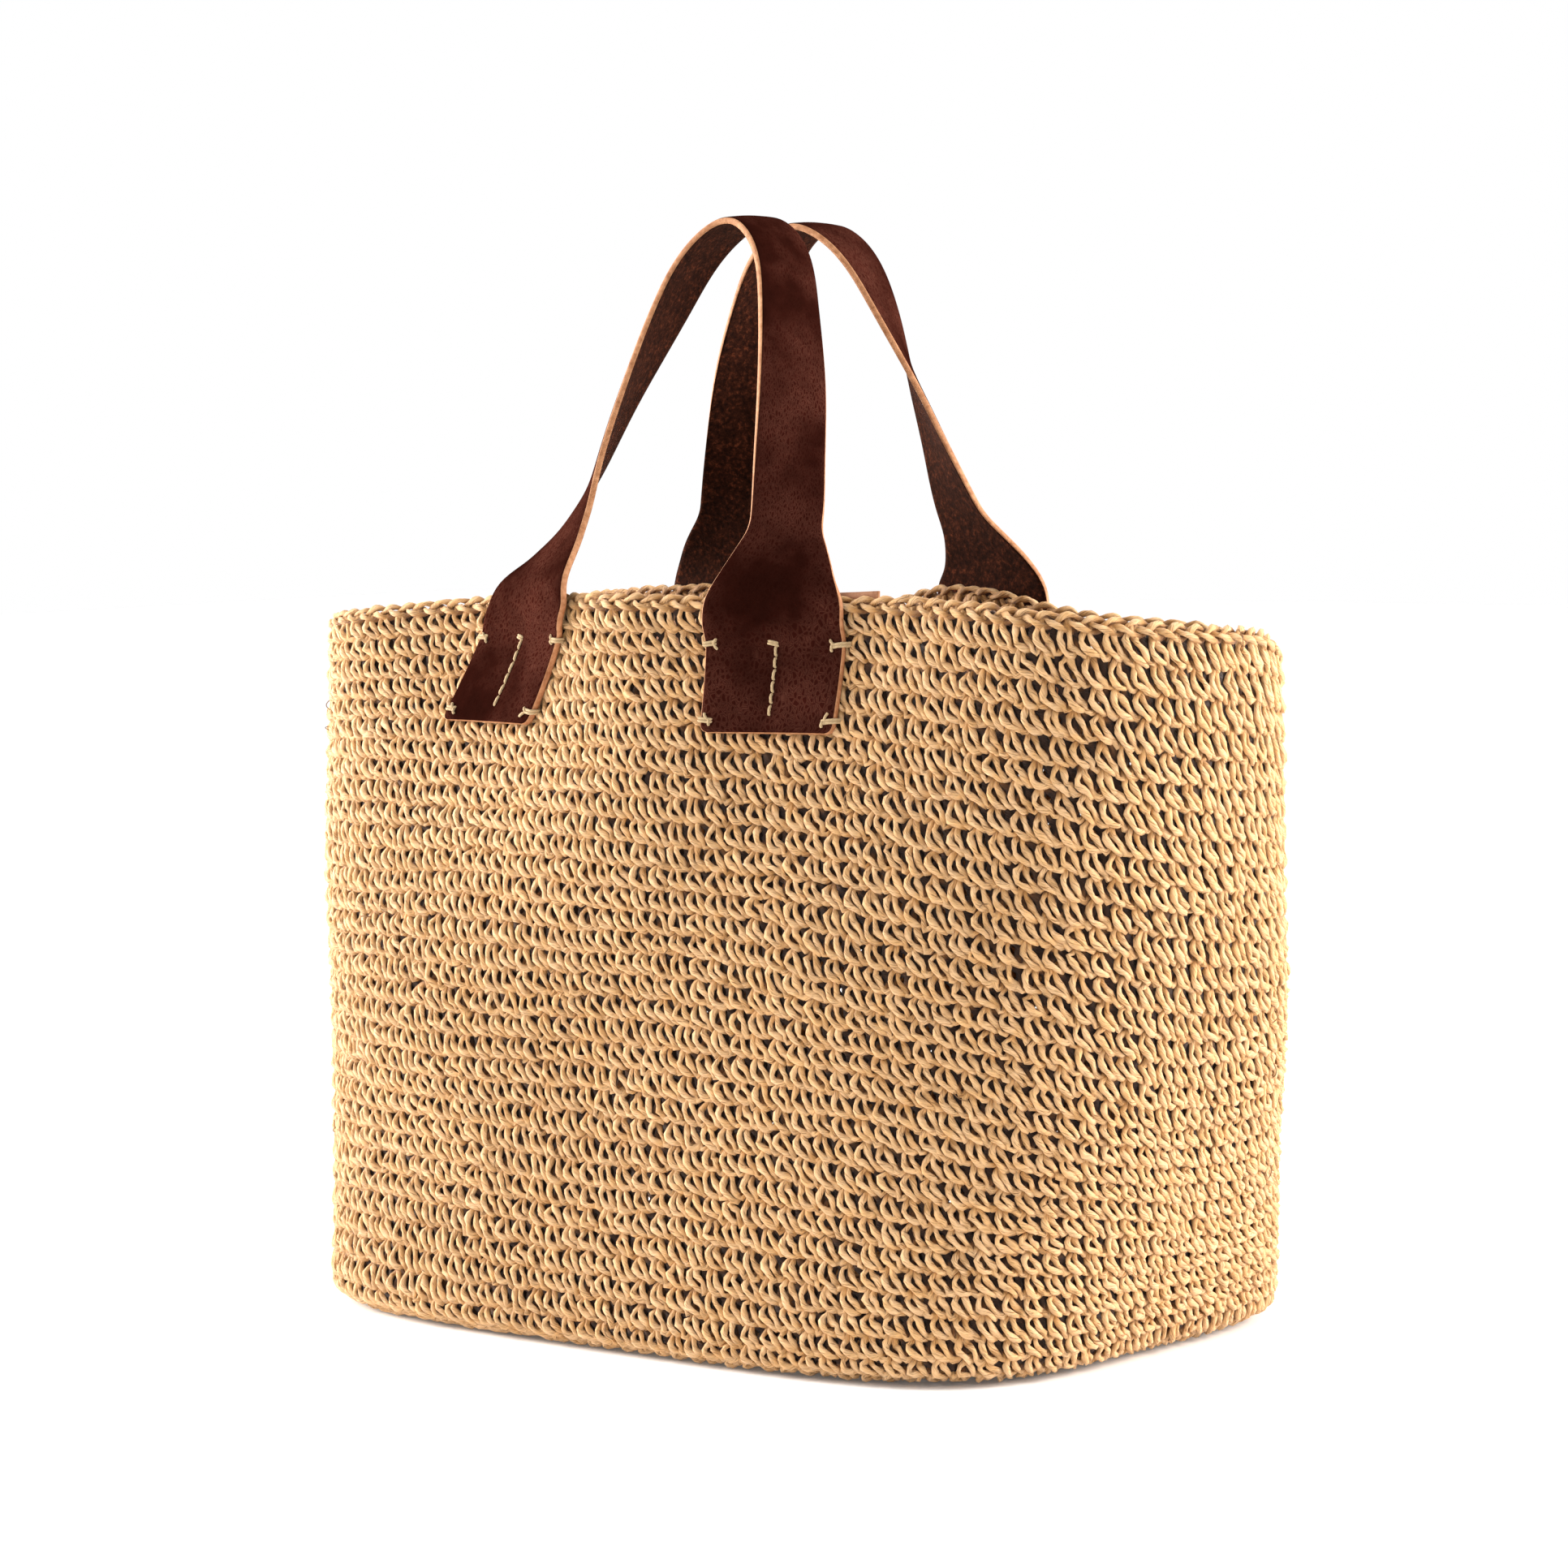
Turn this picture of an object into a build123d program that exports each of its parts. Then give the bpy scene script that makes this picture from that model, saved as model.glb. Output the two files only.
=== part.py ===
"""Crocheted straw beach tote with two leather handles, in millimetres.

Origin: centre of the flat base, +Z up, +X to the bag's right end, -Y to its front face.
The woven body is a closed shell that is a rounded rectangle at the base and is drawn in
between the handles at the rim. Each handle is one leather strap whose ends are sewn flat on
the wall as tabs. The strap swings about the upper tack line of its tabs.
"""

from build123d import *
from math import atan2, cos, degrees, exp, radians, sin, sqrt
import os

# --- woven body ---------------------------------------------------------------------------
HEIGHT = 289.0                    # floor to rim, at the middle of the long sides
RIM_DROP = 14.0                   # how much lower the rim is at the two ends
WALL = 5.0                        # thickness of the crocheted fabric
EDGE_RADIUS = 10.0                # roll of the lower edge
EDGING = 5.0                      # height of the braided rim edging

# half length, half depth and corner squareness at the base, at mid height and at the rim
HALF_LENGTH = (186.0, 215.0, 222.0)
HALF_DEPTH = (128.0, 111.0, 150.0)
SQUARENESS = (4.0, 2.85, 1.95)

PINCH = {"front": 0.55, "back": 0.73}     # how far the handles draw each side in at the rim
PINCH_REACH = 180.0                       # half length of the drawn-in stretch
PINCH_START = {"front": 0.45, "back": 0.35}      # share of the height where it begins
PINCH_END = {"front": 1.05, "back": 0.98}        # and where it would be complete
BELLY = {"front": 26.0, "back": 6.0}      # outward crown between the two tabs at the rim
BELLY_REACH = 62.0

SECTION_HEIGHTS = (0, 1.5, 4, 10, 40, 80, 120, 160, 190, 215, 235, 250, 262, 272, 281, HEIGHT)
RING_POINTS = 48

# --- leather handles ----------------------------------------------------------------------
LEATHER = 2.6
GRIP_WIDTH = 28.0
TAB_WIDTH = 55.0
TAB_LOW = 238.5                   # lower edge of the tabs
HINGE_HEIGHT = 275.5              # upper tack line, where the strap leaves its tabs
CREASE_GAP = 1.2                  # clear height between a tab and its strap
TAB_SPACING = {"front": 63.0, "back": 70.0}      # half distance between tab centres at the rim
TAB_SPLAY = {"front": 0.24, "back": 0.12}        # outward run of the tabs per unit of drop
TAB_LEAN = {"front": -0.21, "back": 0.0}         # run of both tabs to the left per unit of drop
FLARE_TOP = 26.0                  # height above the rim where the strap reaches grip width

# middle line of each strap: half span, distance from the bag's middle plane, height
STRAP_RISE = {
    "front": [(56, 65, 313), (49, 53, 340), (41, 41, 372), (30, 29, 404), (16, 20, 428)],
    "back": [(62, 41, 313), (53, 36, 340), (43, 31, 372), (31, 27, 404), (16, 24, 427)],
}
STRAP_TOP = {"front": (0, 17, 436), "back": (0, 23, 434)}
# turn of the strap's width from along the bag (0) to across it (90), by share of the rise
TWIST = {"front": [(0.38, 50), (0.64, 70), (1.0, 90)],
         "back": [(0.38, 26), (0.64, 54), (1.0, 90)]}
STRAP_SECTIONS = 36
SQUARE_ON_SHARE = 0.25            # share of the rise over which its sections turn square to it
STRAP_GAP = 3.0                   # gap between a strap and the wall under it

# --- inner patches and thread --------------------------------------------------------------
PATCH_WIDTH = 72.0
PATCH_LOW = 243.5
# height of the top of each patch over the rim; only the front right one shows
PATCH_RISE = {"front": {"left": -4.0, "right": 2.5}, "back": {"left": -14.0, "right": -14.0}}
PATCH_THICK = 1.6
THREAD = 1.2
SEAM_DASHES = 6
DASH_LENGTH = 3.2
DASH_PITCH = 4.5
SEAM_TOP = 274.5
BAR_LENGTH = 8.0
TACK_REACH = 5.0                  # length of a tack on the face of the leather
TACK_HEIGHTS = (271.5, 243.5)
CLEARANCE = 0.4                   # gap kept between the pieces that lie on each other

SIDES = {"front": -1, "back": 1}
ENDS = {"left": -1, "right": 1}


def between(values, share):
    """Smooth value at a share of the height, from its base, middle and rim values."""
    base, middle, rim = values
    lower = base * (1 - share) * (1 - 2 * share)
    upper = rim * share * (2 * share - 1)
    return lower + middle * 4 * share * (1 - share) + upper


def edge_inset(height):
    """How far the rolled lower edge draws the outline in at this height."""
    below = max(0.0, 1 - height / EDGE_RADIUS)
    return EDGE_RADIUS * (1 - sqrt(1 - below**2))


def rim_height(x):
    return HEIGHT - RIM_DROP * (x / HALF_LENGTH[2]) ** 2


def side_depth(x, height, side):
    """Distance from the bag's middle plane to the outer face of its front or back wall."""
    share = height / HEIGHT
    inset = edge_inset(height)
    half_length = between(HALF_LENGTH, share) - inset
    half_depth = between(HALF_DEPTH, share) - inset
    square = between(SQUARENESS, share)
    reach = max(0.0, 1 - (abs(x) / half_length) ** square)
    plain = half_depth * reach ** (1 / square)
    rise = (share - PINCH_START[side]) / (PINCH_END[side] - PINCH_START[side])
    rise = min(1.0, max(0.0, rise))
    ease = rise**2 * (3 - 2 * rise)
    drawn = PINCH[side] * exp(-((abs(x) / PINCH_REACH) ** 4.5)) * ease
    crown = BELLY[side] * exp(-((x / BELLY_REACH) ** 2)) * ease
    return plain * (1 - drawn) + crown


def outline(height, offset=0.0):
    """Evenly spaced points round the bag at this height, moved outward by offset."""
    share = height / HEIGHT
    half_length = between(HALF_LENGTH, share) - edge_inset(height)
    square = between(SQUARENESS, share)
    fine = []
    for step in range(720):
        c = cos(radians(step / 2))
        s = sin(radians(step / 2))
        x = half_length * (1 if c >= 0 else -1) * abs(c) ** (2 / square)
        side = "back" if s >= 0 else "front"
        fine.append(Vector(x, SIDES[side] * side_depth(x, height, side), height))
    lengths = [0.0]
    for here, after in zip(fine, fine[1:] + fine[:1]):
        lengths.append(lengths[-1] + (after - here).length)
    points = []
    index = 0
    for number in range(RING_POINTS):
        target = lengths[-1] * number / RING_POINTS
        while lengths[index + 1] < target:
            index += 1
        here = fine[index]
        after = fine[(index + 1) % len(fine)]
        part = (target - lengths[index]) / (lengths[index + 1] - lengths[index])
        points.append(here + (after - here) * part)
    if offset == 0:
        return points
    moved = []
    for number, here in enumerate(points):
        along = points[(number + 1) % RING_POINTS] - points[number - 1]
        outward = Vector(along.Y, -along.X, 0).normalized()
        moved.append(here + outward * offset)
    return moved


def skin(x, height, side, out):
    """Point on the front or back wall, moved out of its face by out (in, if negative)."""
    return Vector(x, SIDES[side] * (side_depth(x, height, side) + out), height)


def body_solid(offset, low, high):
    """The bag's outer shape, moved outward by offset, from height low to height high."""
    heights = [low] + [h for h in SECTION_HEIGHTS if low < h < high] + [high]
    with BuildPart() as solid:
        for height in heights:
            with BuildSketch(Plane.XY.offset(height)):
                with BuildLine():
                    Spline(*[(p.X, p.Y) for p in outline(height, offset)], periodic=True)
                make_face()
        loft(ruled=True)
    return solid.part


def under_rim(drop, bottom):
    """Block of all that lies between height bottom and the rim's curve lowered by drop."""
    reach = HALF_LENGTH[2] + 30
    curve = [(x, rim_height(x) - drop) for x in (-reach, -reach / 2, 0, reach / 2, reach)]
    with BuildPart() as block:
        with BuildSketch(Plane.XZ.offset(-200)):
            with BuildLine():
                Spline(*curve)
                Polyline(curve[-1], (reach, bottom), (-reach, bottom), curve[0])
            make_face()
        extrude(amount=400)
    return block.part


def wall_patch(side, end, width, low, high, out_near, out_far):
    """Thin sheet that follows the wall between two heights, centred on one handle tab."""
    with BuildPart() as sheet:
        for step in range(7):
            height = low + (high - low) * step / 6
            middle = tab_middle(side, end, height)
            edges = [middle + width * share for share in (-0.5, -0.25, 0, 0.25, 0.5)]
            near = [skin(x, height, side, out_near) for x in edges]
            far = [skin(x, height, side, out_far) for x in reversed(edges)]
            with BuildSketch(Plane.XY.offset(height)):
                with BuildLine():
                    Spline(*[(p.X, p.Y) for p in near])
                    Line((near[-1].X, near[-1].Y), (far[0].X, far[0].Y))
                    Spline(*[(p.X, p.Y) for p in far])
                    Line((far[-1].X, far[-1].Y), (near[0].X, near[0].Y))
                make_face()
        loft(ruled=True)
    return sheet.part


def tab_middle(side, end, height):
    """Where along the bag the middle of a tab lies at this height."""
    drop = HEIGHT - height
    outward = ENDS[end] * (TAB_SPACING[side] + TAB_SPLAY[side] * drop)
    return outward + TAB_LEAN[side] * drop


def rod(start, finish, radius):
    """Round rod from one point to another."""
    way = finish - start
    with BuildPart() as piece:
        with BuildSketch(Plane(origin=start, z_dir=way)):
            Circle(radius)
        extrude(amount=way.length)
    return piece.part


def save(part, name):
    part.label = name
    export_step(part, f"parts/{name}.step")


os.makedirs("parts", exist_ok=True)

# --- crocheted body: base panel, wall and rim edging ----------------------------------------
panel_inset = EDGE_RADIUS * 0.6
panel_outline = [(p.X, p.Y) for p in outline(0, -panel_inset)]
with BuildPart() as base_panel:
    with BuildSketch(Plane.XY):
        with BuildLine():
            Spline(*panel_outline, periodic=True)
        make_face()
    extrude(amount=WALL)
save(base_panel.part, "base_panel")

outer_body = body_solid(0, 0, HEIGHT)
inner_body = body_solid(-WALL, WALL, HEIGHT)
shell_top = under_rim(0, -10)
shell_bottom = under_rim(EDGING, -10)

with BuildPart() as wall:
    add(outer_body)
    add(inner_body, mode=Mode.SUBTRACT)
    add(base_panel.part, mode=Mode.SUBTRACT)
    add(shell_bottom, mode=Mode.INTERSECT)
save(wall.part, "wall")

with BuildPart() as rim_edging:
    add(outer_body)
    add(inner_body, mode=Mode.SUBTRACT)
    add(shell_top, mode=Mode.INTERSECT)
    add(shell_bottom, mode=Mode.SUBTRACT)
save(rim_edging.part, "rim_edging")

# --- tabs, inner patches and stitching of each handle end -----------------------------------
leather_out = CLEARANCE + LEATHER / cos(radians(25))
thread_out = leather_out + THREAD / 2 + 0.3
for side in SIDES:
    for end in ENDS:
        name = f"{side}_{end}"
        tab_top = HINGE_HEIGHT - CREASE_GAP
        tab = wall_patch(side, end, TAB_WIDTH, TAB_LOW, tab_top, CLEARANCE, leather_out)
        save(tab, f"{name}_tab")

        patch_near = -WALL - CLEARANCE
        patch_far = patch_near - PATCH_THICK
        patch_top = rim_height(tab_middle(side, end, HEIGHT)) + PATCH_RISE[side][end]
        patch = wall_patch(side, end, PATCH_WIDTH, PATCH_LOW, patch_top, patch_near, patch_far)
        save(patch, f"{name}_patch")

        with BuildPart() as seam:
            for dash in range(SEAM_DASHES):
                top = SEAM_TOP - 4 - dash * DASH_PITCH
                low = top - DASH_LENGTH
                start = skin(tab_middle(side, end, top), top, side, thread_out)
                finish = skin(tab_middle(side, end, low), low, side, thread_out)
                add(rod(start, finish, THREAD / 2))
            bar_height = SEAM_TOP - 2
            bar_middle = tab_middle(side, end, bar_height)
            bar_left = skin(bar_middle - BAR_LENGTH / 2, bar_height, side, thread_out)
            bar_right = skin(bar_middle + BAR_LENGTH / 2, bar_height, side, thread_out)
            add(rod(bar_left, bar_right, THREAD / 2))
        save(seam.part, f"{name}_seam")

        with BuildPart() as tacks:
            for height in TACK_HEIGHTS:
                for edge in (-1, 1):
                    edge_x = tab_middle(side, end, height) + edge * TAB_WIDTH / 2
                    inner = skin(edge_x - edge * TACK_REACH, height, side, thread_out)
                    outer = skin(edge_x + edge * 1.2, height, side, thread_out)
                    add(rod(inner, outer, THREAD / 2))
        save(tacks.part, f"{name}_tacks")


def wall_turn(side, end):
    """Turn of the wall under a tab, in degrees, where 0 runs straight along the bag."""
    middle = abs(tab_middle(side, end, HINGE_HEIGHT))
    near = side_depth(middle - 20, HINGE_HEIGHT, side)
    far = side_depth(middle + 20, HINGE_HEIGHT, side)
    return degrees(atan2(near - far, 40))


def twist_angle(side, end, share):
    """Turn of the strap's width at a share of its rise, in degrees."""
    rim_share = (HEIGHT - HINGE_HEIGHT) / (STRAP_TOP[side][2] - HINGE_HEIGHT)
    wall = wall_turn(side, end)
    steps = [(0.0, wall), (rim_share, wall)] + TWIST[side]
    for (low, angle_low), (high, angle_high) in zip(steps, steps[1:]):
        if share <= high:
            return angle_low + (angle_high - angle_low) * (share - low) / (high - low)
    return steps[-1][1]


def strap_width(rise):
    """Width of the strap at this height above the rim."""
    if rise >= FLARE_TOP:
        return GRIP_WIDTH
    return TAB_WIDTH - (TAB_WIDTH - GRIP_WIDTH) * max(0.0, rise / FLARE_TOP)


def strap_points(side):
    """Middle line of a strap, from its left tab over the top to its right tab."""
    out = STRAP_GAP + LEATHER / 2
    rising = {}
    for end in ENDS:
        rising[end] = []
        for height in (HINGE_HEIGHT, (HINGE_HEIGHT + HEIGHT) / 2, HEIGHT):
            rising[end].append(skin(tab_middle(side, end, height), height, side, out))
        for x, depth, z in STRAP_RISE[side]:
            rising[end].append(Vector(ENDS[end] * x, SIDES[side] * depth, z))
    top_x, top_depth, top_z = STRAP_TOP[side]
    top = Vector(top_x, SIDES[side] * top_depth, top_z)
    return rising["left"] + [top] + rising["right"][::-1]


# --- straps -----------------------------------------------------------------------------------
for side in SIDES:
    with BuildLine() as middle_line:
        Spline(*strap_points(side))
    path = middle_line.line
    rise_span = STRAP_TOP[side][2] - HINGE_HEIGHT
    with BuildPart() as strap:
        for step in range(STRAP_SECTIONS + 1):
            place = step / STRAP_SECTIONS
            point = path @ place
            heading = path % place
            share = (point.Z - HINGE_HEIGHT) / rise_span
            end = "left" if place < 0.5 else "right"
            turn = radians(twist_angle(side, end, share))
            leg = ENDS[end]
            across = Vector(cos(turn), -leg * SIDES[side] * sin(turn), 0) * -leg
            square_on = min(1.0, share / SQUARE_ON_SHARE)
            across = (across - heading * across.dot(heading) * square_on).normalized()
            normal = heading - across * heading.dot(across)
            with BuildSketch(Plane(origin=point, x_dir=across, z_dir=normal)):
                Rectangle(strap_width(point.Z - HEIGHT), LEATHER)
        loft(ruled=True)
    save(strap.part, f"{side}_strap")
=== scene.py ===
"""Looks of the crocheted beach bag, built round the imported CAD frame.

Lengths are worked out in millimetres, as in the CAD source, and turned to metres where a mesh
is made. Round the bag, "turn" is the share of the way round, counter-clockwise from +X.
Up the bag, "climb" is the distance along the fabric: 0 where the rolled lower edge leaves the
floor, negative on the base, and CLIMB_TOP at the rim.
"""

import math

import bmesh
import bpy
import numpy as np
from mathutils import Matrix, Vector


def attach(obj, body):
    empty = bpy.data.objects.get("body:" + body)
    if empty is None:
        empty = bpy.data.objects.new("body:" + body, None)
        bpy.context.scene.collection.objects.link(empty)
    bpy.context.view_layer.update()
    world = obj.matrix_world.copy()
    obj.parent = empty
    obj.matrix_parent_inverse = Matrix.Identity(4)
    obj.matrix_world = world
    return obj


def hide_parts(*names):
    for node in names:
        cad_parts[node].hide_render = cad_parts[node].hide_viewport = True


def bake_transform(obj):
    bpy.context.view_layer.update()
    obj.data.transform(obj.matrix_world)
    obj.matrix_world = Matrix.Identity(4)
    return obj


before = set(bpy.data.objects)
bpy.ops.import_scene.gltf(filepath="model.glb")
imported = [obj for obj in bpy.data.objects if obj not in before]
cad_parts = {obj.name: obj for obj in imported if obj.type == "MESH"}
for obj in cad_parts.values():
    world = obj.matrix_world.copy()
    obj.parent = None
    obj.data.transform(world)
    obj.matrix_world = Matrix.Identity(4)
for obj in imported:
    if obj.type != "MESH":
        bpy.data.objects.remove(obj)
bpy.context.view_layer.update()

MM = 0.001
FRONT, BACK = -1, 1
SIDE_NAMES = {FRONT: "front", BACK: "back"}
END_NAMES = {-1: "left", 1: "right"}

# --- shape of the bag, as in the CAD source ---------------------------------------------------
HEIGHT = 289.0
RIM_DROP = 14.0
EDGE_RADIUS = 10.0
HALF_LENGTH = (186.0, 215.0, 222.0)
HALF_DEPTH = (128.0, 111.0, 150.0)
SQUARENESS = (4.0, 2.85, 1.95)
PINCH = {FRONT: 0.55, BACK: 0.73}
PINCH_REACH = 180.0
PINCH_START = {FRONT: 0.45, BACK: 0.35}
PINCH_END = {FRONT: 1.05, BACK: 0.98}
BELLY = {FRONT: 26.0, BACK: 6.0}
BELLY_REACH = 62.0

# --- shape of the handles, as in the CAD source -----------------------------------------------
LEATHER = 2.6
GRIP_WIDTH = 28.0
TAB_WIDTH = 55.0
TAB_LOW = 238.5
HINGE_HEIGHT = 275.5
TAB_SPACING = {FRONT: 63.0, BACK: 70.0}
TAB_SPLAY = {FRONT: 0.24, BACK: 0.12}
TAB_LEAN = {FRONT: -0.21, BACK: 0.0}
FLARE_TOP = 26.0
STRAP_RISE = {
    FRONT: [(56, 65, 313), (49, 53, 340), (41, 41, 372), (30, 29, 404), (16, 20, 428)],
    BACK: [(62, 41, 313), (53, 36, 340), (43, 31, 372), (31, 27, 404), (16, 24, 427)],
}
STRAP_TOP = {FRONT: (0, 17, 436), BACK: (0, 23, 434)}
TWIST = {FRONT: [(0.38, 50), (0.64, 70), (1.0, 90)],
         BACK: [(0.38, 26), (0.64, 54), (1.0, 90)]}
SQUARE_ON_SHARE = 0.25
STRAP_GAP = 3.0
TAB_GAP = 0.4

# --- crochet ------------------------------------------------------------------------------------
SEED = 7
STITCHES = 122                    # stitches in one round of the wall
ROUNDS = 33
BASE_STITCH = 8.4                 # width of a stitch on the base
FEWEST_STITCHES = 12
RIM_SPACE = 2.0                   # height kept free for the braid over the last round
YARN_RADIUS = 1.19                # radius of the twisted paper yarn, before its unevenness
BASE_LIFT = 1.5                   # how much deeper the yarn lies on the base, off the floor
YARN_DEPTH = 2.5                  # how far the yarn's middle layer lies inside the outer face
LEAN = -0.13                      # sideways drift of the stitches from one round to the next
ROUNDS_PER_PIECE = 4              # keeps every piece under 200,000 triangles
SAG = 30.0                        # how far the rounds hang down at the right end
SAG_ANGLE = 0.1
SAG_SPREAD = 0.42
# lower stretches of the rim: how far down, at which angle round the bag, and how wide
RIM_DIPS = ((13.0, 0.27, 0.13), (-4.5, -0.35, 0.3))
BACK_DIP = 8.0                    # how far the rim hangs down between the back tabs
BACK_DIP_HALF = 40.0
ROW_RIPPLE = 1.1                  # gentle waves of the rounds and of the fabric itself
FABRIC_RIPPLE = 1.0
# each wave of the rounds: its size, how many go round the bag, its rate up the bag, its phase
ROW_WAVES = ((1.0, 3, 0.041, 0.0), (0.7, 7, -0.058, 1.3))
CALM_UNDER = 30.0                 # climb below which these waves die out


# === surface of the bag =========================================================================
def between(values, share):
    base, middle, rim = values
    lower = base * (1 - share) * (1 - 2 * share)
    upper = rim * share * (2 * share - 1)
    return lower + middle * 4 * share * (1 - share) + upper


def side_depth(x, height, side, inset=0.0, square=None):
    """Distance of the outer face from the bag's middle plane; side may be an array of signs."""
    share = height / HEIGHT
    half_length = between(HALF_LENGTH, share) - inset
    half_depth = between(HALF_DEPTH, share) - inset
    if square is None:
        square = between(SQUARENESS, share)
    reach = np.maximum(0.0, 1 - (np.abs(x) / half_length) ** square)
    plain = half_depth * reach ** (1 / square)
    front = np.asarray(side) < 0
    start = np.where(front, PINCH_START[FRONT], PINCH_START[BACK])
    end = np.where(front, PINCH_END[FRONT], PINCH_END[BACK])
    rise = np.clip((share - start) / (end - start), 0, 1)
    ease = rise**2 * (3 - 2 * rise)
    pinch = np.where(front, PINCH[FRONT], PINCH[BACK])
    belly = np.where(front, BELLY[FRONT], BELLY[BACK])
    drawn = pinch * np.exp(-((np.abs(x) / PINCH_REACH) ** 4.5)) * ease
    crown = belly * np.exp(-((x / BELLY_REACH) ** 2)) * ease
    return plain * (1 - drawn) + crown


ROLL = math.pi * EDGE_RADIUS / 2              # climb at which the rolled edge turns upright
CLIMB_TOP = ROLL + HEIGHT - EDGE_RADIUS
BASE_REACH = HALF_DEPTH[0] - EDGE_RADIUS      # climb from the edge in to the base's middle
TABLE_TURNS = 960
TABLE_STEP = 2.0
OVER_RIM = 8.0                    # how far the tables run on past the rim
FINE_TURNS = 5760                 # points on a ring before they are spaced evenly
MIDDLE_SQUARENESS = 2.1           # the base's rounds end in a plain oval


def even_ring(climb):
    """Points spaced evenly round the bag at one climb."""
    if climb < 0:
        height, inset = 0.0, EDGE_RADIUS - climb
    elif climb < ROLL:
        angle = climb / EDGE_RADIUS
        height = EDGE_RADIUS * (1 - math.cos(angle))
        inset = EDGE_RADIUS * (1 - math.sin(angle))
    else:
        height, inset = EDGE_RADIUS + climb - ROLL, 0.0
    share = height / HEIGHT
    square = between(SQUARENESS, share)
    if climb < 0:
        square += (MIDDLE_SQUARENESS - square) * min(1.0, -climb / BASE_REACH) ** 0.8
    angles = np.linspace(0, 2 * math.pi, FINE_TURNS + 1)
    c, s = np.cos(angles), np.sin(angles)
    half_length = between(HALF_LENGTH, share) - inset
    x = half_length * np.sign(c) * np.abs(c) ** (2 / square)
    side = np.where(s >= 0, 1, -1)
    y = side * side_depth(x, height, side, inset, square)
    steps = np.hypot(np.diff(x), np.diff(y))
    run = np.concatenate([[0], np.cumsum(steps)])
    targets = run[-1] * np.arange(TABLE_TURNS) / TABLE_TURNS
    ring = [np.interp(targets, run, x), np.interp(targets, run, y)]
    return np.stack(ring + [np.full(TABLE_TURNS, height)], axis=1), run[-1]


climbs = np.arange(-BASE_REACH + TABLE_STEP, CLIMB_TOP + OVER_RIM, TABLE_STEP)
rings = [even_ring(climb) for climb in climbs]
surface_table = np.stack([ring for ring, length in rings])
ring_lengths = np.array([length for ring, length in rings])
along_table = np.roll(surface_table, -3, axis=1) - np.roll(surface_table, 3, axis=1)
normal_table = np.cross(along_table, np.gradient(surface_table, axis=0))
normal_table /= np.linalg.norm(normal_table, axis=2, keepdims=True) + 1e-9


def look_up(table, turn, climb):
    """Value of a table at a turn and a climb, which may be arrays."""
    column = (turn % 1.0) * TABLE_TURNS
    row = np.clip((climb - climbs[0]) / TABLE_STEP, 0, len(climbs) - 1.001)
    left = np.floor(column).astype(int)
    low = np.floor(row).astype(int)
    part = (column - left)[..., None]
    lift = (row - low)[..., None]
    left = left % TABLE_TURNS
    right = (left + 1) % TABLE_TURNS
    under = table[low, left] * (1 - part) + table[low, right] * part
    over = table[low + 1, left] * (1 - part) + table[low + 1, right] * part
    return under * (1 - lift) + over * lift


def fabric_point(turn, climb, out):
    """Point of the fabric, out from its outer face, with the rounds sagging at the ends."""
    flat = look_up(surface_table, turn, climb)
    share = np.clip((climb - ROLL) / (CLIMB_TOP - ROLL), 0, 1)
    around = np.arctan2(flat[..., 1], flat[..., 0])
    sag = SAG * 4 * share * (1 - share) * np.exp(-0.5 * ((around - SAG_ANGLE) / SAG_SPREAD) ** 2)
    drop = RIM_DROP * (flat[..., 0] / HALF_LENGTH[2]) ** 2 * share**3
    slump = BACK_DIP * np.exp(-((flat[..., 0] / BACK_DIP_HALF) ** 4)) * (flat[..., 1] > 0)
    for depth, angle, spread in RIM_DIPS:
        slump = slump + depth * np.exp(-(((around - angle) / spread) ** 2))
    waves = sum(size * np.sin(2 * math.pi * number * turn + climb * rate + phase)
                for size, number, rate, phase in ROW_WAVES)
    calm = np.clip(climb / CALM_UNDER, 0, 1)
    lowered = climb - sag - drop - slump * share**3 + ROW_RIPPLE * waves * calm * (1 - share**4)
    swell = np.sin(2 * math.pi * 5 * turn + 0.6) * np.sin(climb * 0.047 + 4 * turn)
    out = out + FABRIC_RIPPLE * swell * calm * (1 - share**4)
    out = out - BASE_LIFT * np.clip(1 - climb / ROLL, 0, 1)
    point = look_up(surface_table, turn, lowered)
    normal = look_up(normal_table, turn, lowered)
    normal /= np.linalg.norm(normal, axis=-1, keepdims=True)
    return point + normal * out[..., None], normal


# === yarn =======================================================================================
# one stitch seen from outside: across in stitch widths, up in round heights, out in mm
STITCH_PATH = np.array([
    (0.02, -0.03, 0.9), (0.19, -0.14, 1.1), (0.37, 0.10, -0.6), (0.41, 0.52, -1.9),
    (0.41, 0.90, -1.3), (0.38, 1.04, -0.3), (0.30, 0.84, 0.5), (0.15, 0.58, 1.1),
    (0.24, 0.28, 1.9), (0.56, 0.04, 2.0), (0.88, -0.10, 0.6), (0.99, 0.20, -1.3),
    (0.92, 0.66, -1.9), (0.54, 1.03, -0.5), (0.48, 0.84, 0.4), (0.56, 0.58, 1.0),
    (0.76, 0.32, 1.4), (0.93, 0.10, 1.0),
])
SAMPLES_PER_STITCH = 28
BASE_SAMPLES = 16
FINE = 4                          # points worked out between two points of a stitch
STITCH_SCALE = np.array([8.5, 8.6, 1.0])      # about a stitch's width, a round's height and 1 mm
WALL_CORNERS = 6                  # corners of the yarn's section
BASE_CORNERS = 5
BULGE_EVERY = 5                   # samples between two changes of the yarn's thickness
BEHIND_DEPTH = 1.8                # depth at which a loop has its full behind size
STITCH_WOBBLE = np.array([0.042, 0.052, 0.28])
STITCH_LEAN = 0.08
STITCH_SIZE = 0.07
YARN_UNEVEN = 0.07
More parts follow.
